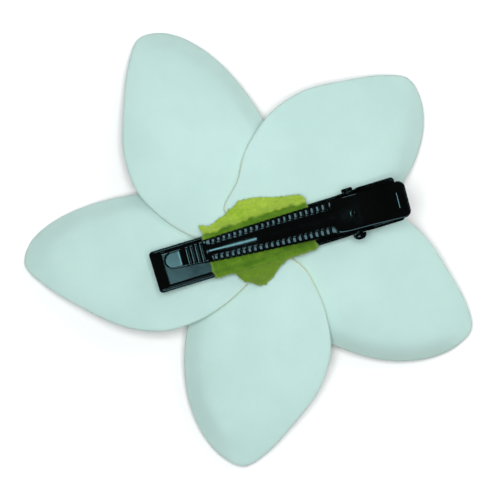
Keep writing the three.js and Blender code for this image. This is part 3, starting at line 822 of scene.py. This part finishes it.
def make_hinge_pin():
    """The rivet: a domed factory head on one side and a hammered one on the other."""
    head = BASE_HALF_WIDTH + 0.08
    dome = [(1.15 * math.sin(t), -head - 0.2 - 0.85 * math.cos(t))
            for t in np.linspace(0, math.pi / 2, 14)]
    profile = [*dome, (1.15, -head - 0.06), (1.09, -head), (PIN_RADIUS, -head),
               (PIN_RADIUS, head), (0.94, head), (1.0, head + 0.06), (1.0, head + 0.4),
               (0.93, head + 0.53), (0.72, head + 0.6), (0.3, head + 0.55), (0, head + 0.54)]
    vertices, faces = lathe(profile, 48, axis="Y")
    obj = piece("hinge_pin_enamel", vertices, faces, ENAMEL,
                (CLIP_X, CLIP_Y, CLIP_BOTTOM + PIN_HEIGHT))
    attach(obj, "flower")
    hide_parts("hinge_pin")


def make_torsion_spring():
    """A coil about the rivet, with a leg on the base and a leg under the lever."""
    coil_radius, turns, half, reach, per_turn = 1.05, 4.5, 1.2, 6.6, 40
    route = [(reach, -half, SHEET + WIRE_RADIUS + 0.1),
             (2.6, -half, PIN_HEIGHT - coil_radius - 0.35)]
    steps = int(turns * per_turn)
    for i in range(0, steps + 1, 2):
        a = -math.pi / 2 - i / steps * turns * 2 * math.pi
        route.append((coil_radius * math.cos(a), -half + 2 * half * i / steps,
                      PIN_HEIGHT + coil_radius * math.sin(a)))
    under_lever = eased(LEVER_TOP, reach) - SHEET - WIRE_RADIUS - 0.25
    route += [(2.6, half, PIN_HEIGHT + coil_radius + 0.45), (reach, half, under_lever)]
    vertices, faces = sweep(catmull_rom(route, 420), WIRE_RADIUS, 14)
    obj = piece("torsion_spring_wire", vertices, faces, STEEL, CLIP_ORIGIN)
    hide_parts("torsion_spring")
    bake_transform(obj)


make_clip_base()
make_clip_lever()
make_hinge_pin()
make_torsion_spring()

# ---------------------------------------------------------------- green cover

# The patch's cut edges and the pleat beyond the lever, as points of the clip's plan.
COVER_LEFT, COVER_RIGHT = -26.5, -7.3
COVER_END_SLANT = 0.45
COVER_FAR_EDGE = [(-26.6, 5.9), (-25.2, 5.2), (-23.9, 5.3), (-23.3, 5.9), (-21.9, 6.1),
                  (-20.5, 7.0), (-19.6, 7.2), (-18.7, 7.9), (-15.6, 7.6), (-11.6, 6.5),
                  (-8.3, 5.9), (-7.6, 5.4), (-7.2, 4.4)]
COVER_NEAR_EDGE = [(-26.5, -3.95), (-25.4, -4.15), (-24.6, -4.0), (-22.9, -4.15), (-21.7, -6.1),
                   (-20.6, -6.5), (-19.5, -7.4), (-18.4, -7.5), (-16.4, -6.5), (-15.6, -5.7),
                   (-14.7, -5.1), (-13.4, -4.5), (-12.1, -4.4), (-8.6, -4.3), (-7.3, -4.1)]
PLEAT_LINE = [(-26.5, 4.0), (-23.9, 4.0), (-20.3, 4.15), (-16.4, 4.5), (-12.1, 4.5), (-7.5, 4.1)]
COVER_CHANNEL = BASE_HALF_WIDTH - 0.75
COVER_SHOULDER = BASE_HALF_WIDTH + 0.15
COVER_MARGIN = 0.02
COVER_COLUMNS, COVER_ROWS = 150, 130
GROUND_STEP = 0.2
GROUND_X = np.arange(COVER_LEFT - 2, COVER_RIGHT + 2, GROUND_STEP)
GROUND_Y = np.arange(-10, 10, GROUND_STEP)
FOLD_HEIGHT = 0.6
CREASE_HEIGHT = 0.16
PLEAT_HEIGHT = 0.34
NAP_HEIGHT = 0.05
# Where a painted shadow darkens one crease of the felt, as a point of the clip's plan.
CREASE_SHADE_SPOT = (-19.3, -3.25)
FIBRE_COUNT = 240


def is_inside(outline, x, y):
    """Whether points lie inside an outline: a line from each crosses it an odd number of times."""
    start, end = outline, np.roll(outline, -1, 0)
    rise = end[:, 1] - start[:, 1]
    slope = (end[:, 0] - start[:, 0]) / np.where(rise == 0, 1, rise)
    straddles = (start[:, 1, None] > y) != (end[:, 1, None] > y)
    crossing = start[:, 0, None] + slope[:, None] * (y - start[:, 1, None])
    return (straddles & (x < crossing)).sum(0) % 2 == 1


def flower_back(x, y):
    """The heights of the flower's back at points of its plan, with a margin round each petal."""
    back = np.zeros_like(x)
    for _, turn, long, wide, lean, flare, _ in PETALS:
        a = math.radians(-turn)
        own_x = (x * math.cos(a) - y * math.sin(a)) / long
        own_y = (x * math.sin(a) + y * math.cos(a)) / wide
        drawn_x = PETAL_CENTRE[0] + (own_x - PETAL_CENTRE[0]) * (1 - COVER_MARGIN)
        inside = is_inside(petal_outline(lean, flare), drawn_x, own_y * (1 - COVER_MARGIN))
        height = petal_height(own_x, own_y) + PETAL_THICKNESS / 2
        back = np.where(inside, np.maximum(back, height), back)
    return back


def blurred(heights, reach):
    """Heights on a grid, averaged over a square reaching so many cells each way."""
    padded = np.pad(heights, reach, mode="edge")
    rows, columns = heights.shape
    shifts = [padded[i:i + rows, j:j + columns]
              for i in range(2 * reach + 1) for j in range(2 * reach + 1)]
    return np.mean(shifts, axis=0)


def outer_ground():
    """What the felt hangs over beside the tray, above the base's underside, on the grid."""
    x, y = (grid.ravel() for grid in np.meshgrid(GROUND_X, GROUND_Y, indexing="ij"))
    back = flower_back(x + CLIP_X - FLOWER_X, y + CLIP_Y - FLOWER_Y) - CLIP_BOTTOM + 0.3
    falling = RIM_HEIGHT - np.maximum(np.abs(y) - COVER_SHOULDER, 0)
    return blurred(np.maximum(back, falling).reshape(len(GROUND_X), len(GROUND_Y)), 2)


OUTER_GROUND = outer_ground()


def on_grid(x, y):
    """The outer ground's height at a point, between the grid's own."""
    i, j = (x - GROUND_X[0]) / GROUND_STEP, (y - GROUND_Y[0]) / GROUND_STEP
    a, b = int(i), int(j)
    s, t = i - a, j - b
    near = OUTER_GROUND[a, b] * (1 - t) + OUTER_GROUND[a, b + 1] * t
    far = OUTER_GROUND[a + 1, b] * (1 - t) + OUTER_GROUND[a + 1, b + 1] * t
    return float(near * (1 - s) + far * s)


def cover_underside(x, y):
    """The ground as felt follows it: up out of the tray, over the rims and down in folds."""
    across = abs(y)
    rim = max(RIM_HEIGHT, on_grid(x, math.copysign(COVER_SHOULDER, y)))
    climb = float(smoothstep(across, COVER_CHANNEL - 0.5, COVER_CHANNEL + 0.35))
    outward = float(smoothstep(across, COVER_SHOULDER - 0.2, COVER_SHOULDER + 0.5))
    ground = SHEET + (RIM_HEIGHT - SHEET) * climb
    ground += (on_grid(x, y) - RIM_HEIGHT) * outward + (rim - RIM_HEIGHT) * climb * (1 - outward)
    loose = float(smoothstep(across, BASE_HALF_WIDTH + 0.4, BASE_HALF_WIDTH + 2.2))
    fold = 0.5 + 0.5 * wobble(x, 0.6 * y, 0.0, 2.6, 4.0)
    crease = 1 - abs(wobble(0.6 * x + 0.8 * y, y, 0.0, 1.7, 9.0)) * 2.2
    past = y - np.interp(x, *np.array(PLEAT_LINE).T)
    pleat = math.exp(-((past / (0.5 if past > 0 else 0.22)) ** 2)) * (0.75 + 0.5 * fold)
    slack = loose * (0.05 + FOLD_HEIGHT * fold + CREASE_HEIGHT * crease)
    return ground + COVER_LIFT + slack + PLEAT_HEIGHT * pleat


def cover_painted_light(x, y):
    """Painted light on the felt: lit lime beyond its pleat, shaded leaf green along the lever, and
    a painted shadow in one crease.
    """
    past = y - np.interp(x, *np.array(PLEAT_LINE).T) + 0.55 * wobble(x, 0.5 * y, 3.0, 1.1)
    lit_green = float(smoothstep(past, -0.35, 0.3))
    shaded_green = 0.1 + 0.16 * float(smoothstep(-y, 3.3, 4.6)) + 0.1 * wobble(x, y, 5.0, 1.6)
    # Painted shade in the crease where the felt climbs over the near rim.
    along, across = x - CREASE_SHADE_SPOT[0], y - CREASE_SHADE_SPOT[1]
    crease = math.exp(-((across / 0.22) ** 2)) * float(smoothstep(abs(along), 2.6, 1.2))
    return shaded_green + (1.0 - shaded_green) * lit_green - 0.4 * crease


def cover_point(u, v):
    """A point of the cut patch, u along the clip and v across it, both from 0 to 1."""
    x = COVER_LEFT + (COVER_RIGHT - COVER_END_SLANT * (1 - v) - COVER_LEFT) * u
    end = max(0.0, 1 - 12 * min(u, 1 - u))
    x += end * (0.35 * wobble(0, 9 * v, 1.0, 1.0, 2.0) + 0.12 * wobble(0, 40 * v, 1.0, 1.0))
    far = float(np.interp(x, *np.array(COVER_FAR_EDGE).T))
    near = float(np.interp(x, *np.array(COVER_NEAR_EDGE).T))
    y = near + (far - near) * v
    side = max(0.0, 1 - 14 * min(v, 1 - v))
    y += side * (0.2 * wobble(x, 3 * v, 0, 0.5) + 0.1 * wobble(x, 3 * v, 0, 0.16))
    return x, y


def make_green_cover():
    under, over, edge, painted_light = [], [], [], []
    for u in np.linspace(0, 1, COVER_COLUMNS):
        for v in np.linspace(0, 1, COVER_ROWS):
            x, y = cover_point(u, v)
            rim = min(u, 1 - u, v, 1 - v)
            z = cover_underside(x, y)
            nap = NAP_HEIGHT * wobble(x, y, 0, 0.35, 1.0)
            thick = COVER_THICKNESS * (0.55 + 0.45 * float(smoothstep(rim, 0, 0.02))) + nap
            under.append((x, y, z))
            over.append((x, y, z + thick))
            # Painted highlight along the cut edges, and painted light and shade across the patch.
            edge.append(1 - float(smoothstep(rim, 0, 0.03)))
            painted_light.append(cover_painted_light(x, y))
    count = len(under)
    sheet_faces = ring_faces(COVER_COLUMNS, COVER_ROWS, closed=False)
    faces = [tuple(i + count for i in face) for face in sheet_faces]
    faces += [face[::-1] for face in sheet_faces]
    border = list(range(COVER_ROWS))
    border += [c * COVER_ROWS + COVER_ROWS - 1 for c in range(1, COVER_COLUMNS)]
    border += [(COVER_COLUMNS - 1) * COVER_ROWS + r for r in range(COVER_ROWS - 2, -1, -1)]
    border += [c * COVER_ROWS for c in range(COVER_COLUMNS - 2, 0, -1)]
    for a, b in zip(border, border[1:] + border[:1]):
        faces.append((a, b, b + count, a + count))
    obj = piece("green_cover_felt", under + over, faces, FELT, CLIP_ORIGIN)
    add_values(obj, "edge", edge + edge)
    add_values(obj, "painted_light", painted_light + painted_light)
    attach(obj, "flower")
    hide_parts("green_cover")
    return obj, np.array(over)[border]


def make_fibres(outline):
    """Loose fibres that stand out of the patch's cut edge."""
    middle = outline.mean(0)
    vertices, faces, painted_light = [], [], []
    for _ in range(FIBRE_COUNT):
        root = outline[random.randrange(len(outline))] + (0, 0, -0.5 * COVER_THICKNESS)
        outward = root - middle
        outward[2] = 0
        outward /= np.linalg.norm(outward)
        turn = random.gauss(0, 0.9)
        c, s = math.cos(turn), math.sin(turn)
        away = np.array([outward[0] * c - outward[1] * s, outward[0] * s + outward[1] * c,
                         random.uniform(-0.15, 0.5)])
        length = random.uniform(0.06, 0.24)
        bend = np.array([-away[1], away[0], 0]) * random.uniform(-0.5, 0.5)
        steps = np.linspace(-0.35, 1, 5)[:, None]
        route = root + length * (away * steps + bend * steps * steps)
        strand, skin = sweep(route, random.uniform(0.014, 0.024), 4)
        faces += [tuple(i + len(vertices) for i in face) for face in skin]
        vertices += strand.tolist()
        painted_light += [cover_painted_light(root[0], root[1])] * len(strand)
    obj = piece("green_cover_fibres", vertices, faces, FELT, CLIP_ORIGIN)
    # Every fibre carries the cut edge's painted highlight in full, and the painted light of where
    # it roots.
    add_values(obj, "edge", np.ones(len(vertices)))
    add_values(obj, "painted_light", painted_light)
    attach(obj, "flower")
    return obj


random.seed(RANDOM_SEED)
cover, cut_edge = make_green_cover()
fibres = make_fibres(cut_edge)

# ---------------------------------------------------------------- floor, camera and light

CAMERA_TURN = math.radians(-16.9)
CAMERA_TILT = (math.radians(1.3), math.radians(0.5))
CAMERA_DISTANCE = 2.0
FIELD_WIDTH = 0.0875
VIEW_FROM_PIN = (-19.2, -0.95)
FLOOR_GAP = 0.0002


def view_axes(right, up, out):
    """A direction given along the camera's right and up, and up off the table."""
    c, s = math.cos(CAMERA_TURN), math.sin(CAMERA_TURN)
    return Vector((c * right - s * up, s * right + c * up, out))


def make_floor():
    """A table just under the petal tips, which the enamel doesn't mirror."""
    data = bpy.data.meshes.new("floor")
    reach = 1.5
    corners = [(-reach, -reach, 0), (reach, -reach, 0), (reach, reach, 0), (-reach, reach, 0)]
    data.from_pydata(corners, [], [(0, 1, 2, 3)])
    data.materials.append(floor_material())
    floor = bpy.data.objects.new("floor", data)
    floor.location.z = -FLOOR_GAP
    floor.visible_glossy = False
    bpy.context.scene.collection.objects.link(floor)


def make_camera():
    data = bpy.data.cameras.new("camera")
    data.sensor_width = 36.0
    data.lens = data.sensor_width * CAMERA_DISTANCE / FIELD_WIDTH
    data.clip_end = 20
    camera = bpy.data.objects.new("camera", data)
    across, along = CAMERA_TILT
    turn = Matrix.Rotation(CAMERA_TURN, 4, "Z") @ Matrix.Rotation(across, 4, "X")
    turn = turn @ Matrix.Rotation(along, 4, "Y")
    target = Vector((CLIP_X + VIEW_FROM_PIN[0], CLIP_Y + VIEW_FROM_PIN[1], CLIP_BOTTOM)) * MM
    away = turn @ Vector((0, 0, CAMERA_DISTANCE))
    camera.matrix_world = Matrix.Translation(target + away) @ turn
    bpy.context.scene.collection.objects.link(camera)
    bpy.context.scene.camera = camera


def make_light(name, place, size, watts, colour=(1, 1, 1), glossy=True, diffuse=True,
               shape="RECTANGLE"):
    """A soft light aimed at the flower, its sides turned with the camera."""
    data = bpy.data.lights.new(name, "AREA")
    data.shape = shape
    data.size, data.size_y = size
    data.energy = watts
    data.color = colour
    light = bpy.data.objects.new(name, data)
    spot, target = view_axes(*place), Vector((0, 0, 0.01))
    back = (spot - target).normalized()
    right = view_axes(1, 0, 0)
    right = (right - back * right.dot(back)).normalized()
    up = back.cross(right)
    turn = Matrix((right, up, back)).transposed().to_4x4()
    light.matrix_world = Matrix.Translation(spot) @ turn
    light.visible_glossy = glossy
    light.visible_diffuse = diffuse
    bpy.context.scene.collection.objects.link(light)


def make_world():
    world = bpy.data.worlds.new("studio")
    world.use_nodes = True
    world.node_tree.nodes["Background"].inputs["Color"].default_value = (0.97, 0.99, 1.0, 1)
    world.node_tree.nodes["Background"].inputs["Strength"].default_value = 0.09
    world.cycles_visibility.glossy = False
    bpy.context.scene.world = world


make_floor()
make_camera()
make_light("key", (0.42, 0.42, 0.85), (0.4, 0.4), 1.5, glossy=False)
make_light("overhead", (0.0, 0.0, 1.5), (0.5, 0.5), 20.5, glossy=False)
make_light("panel", (-0.16, -0.07, 2.4), (0.38, 0.24), 1.6, (0.40, 0.90, 1.0), shape="ELLIPSE")
make_light("far_card", (-0.1, 0.85, 0.6), (0.7, 0.6), 3.9, (0.45, 0.88, 1.0), diffuse=False)
make_light("near_card", (-0.1, -0.85, 0.6), (0.7, 0.6), 3.9, (0.45, 0.88, 1.0), diffuse=False)
make_world()
bpy.context.scene.view_settings.view_transform = "Standard"
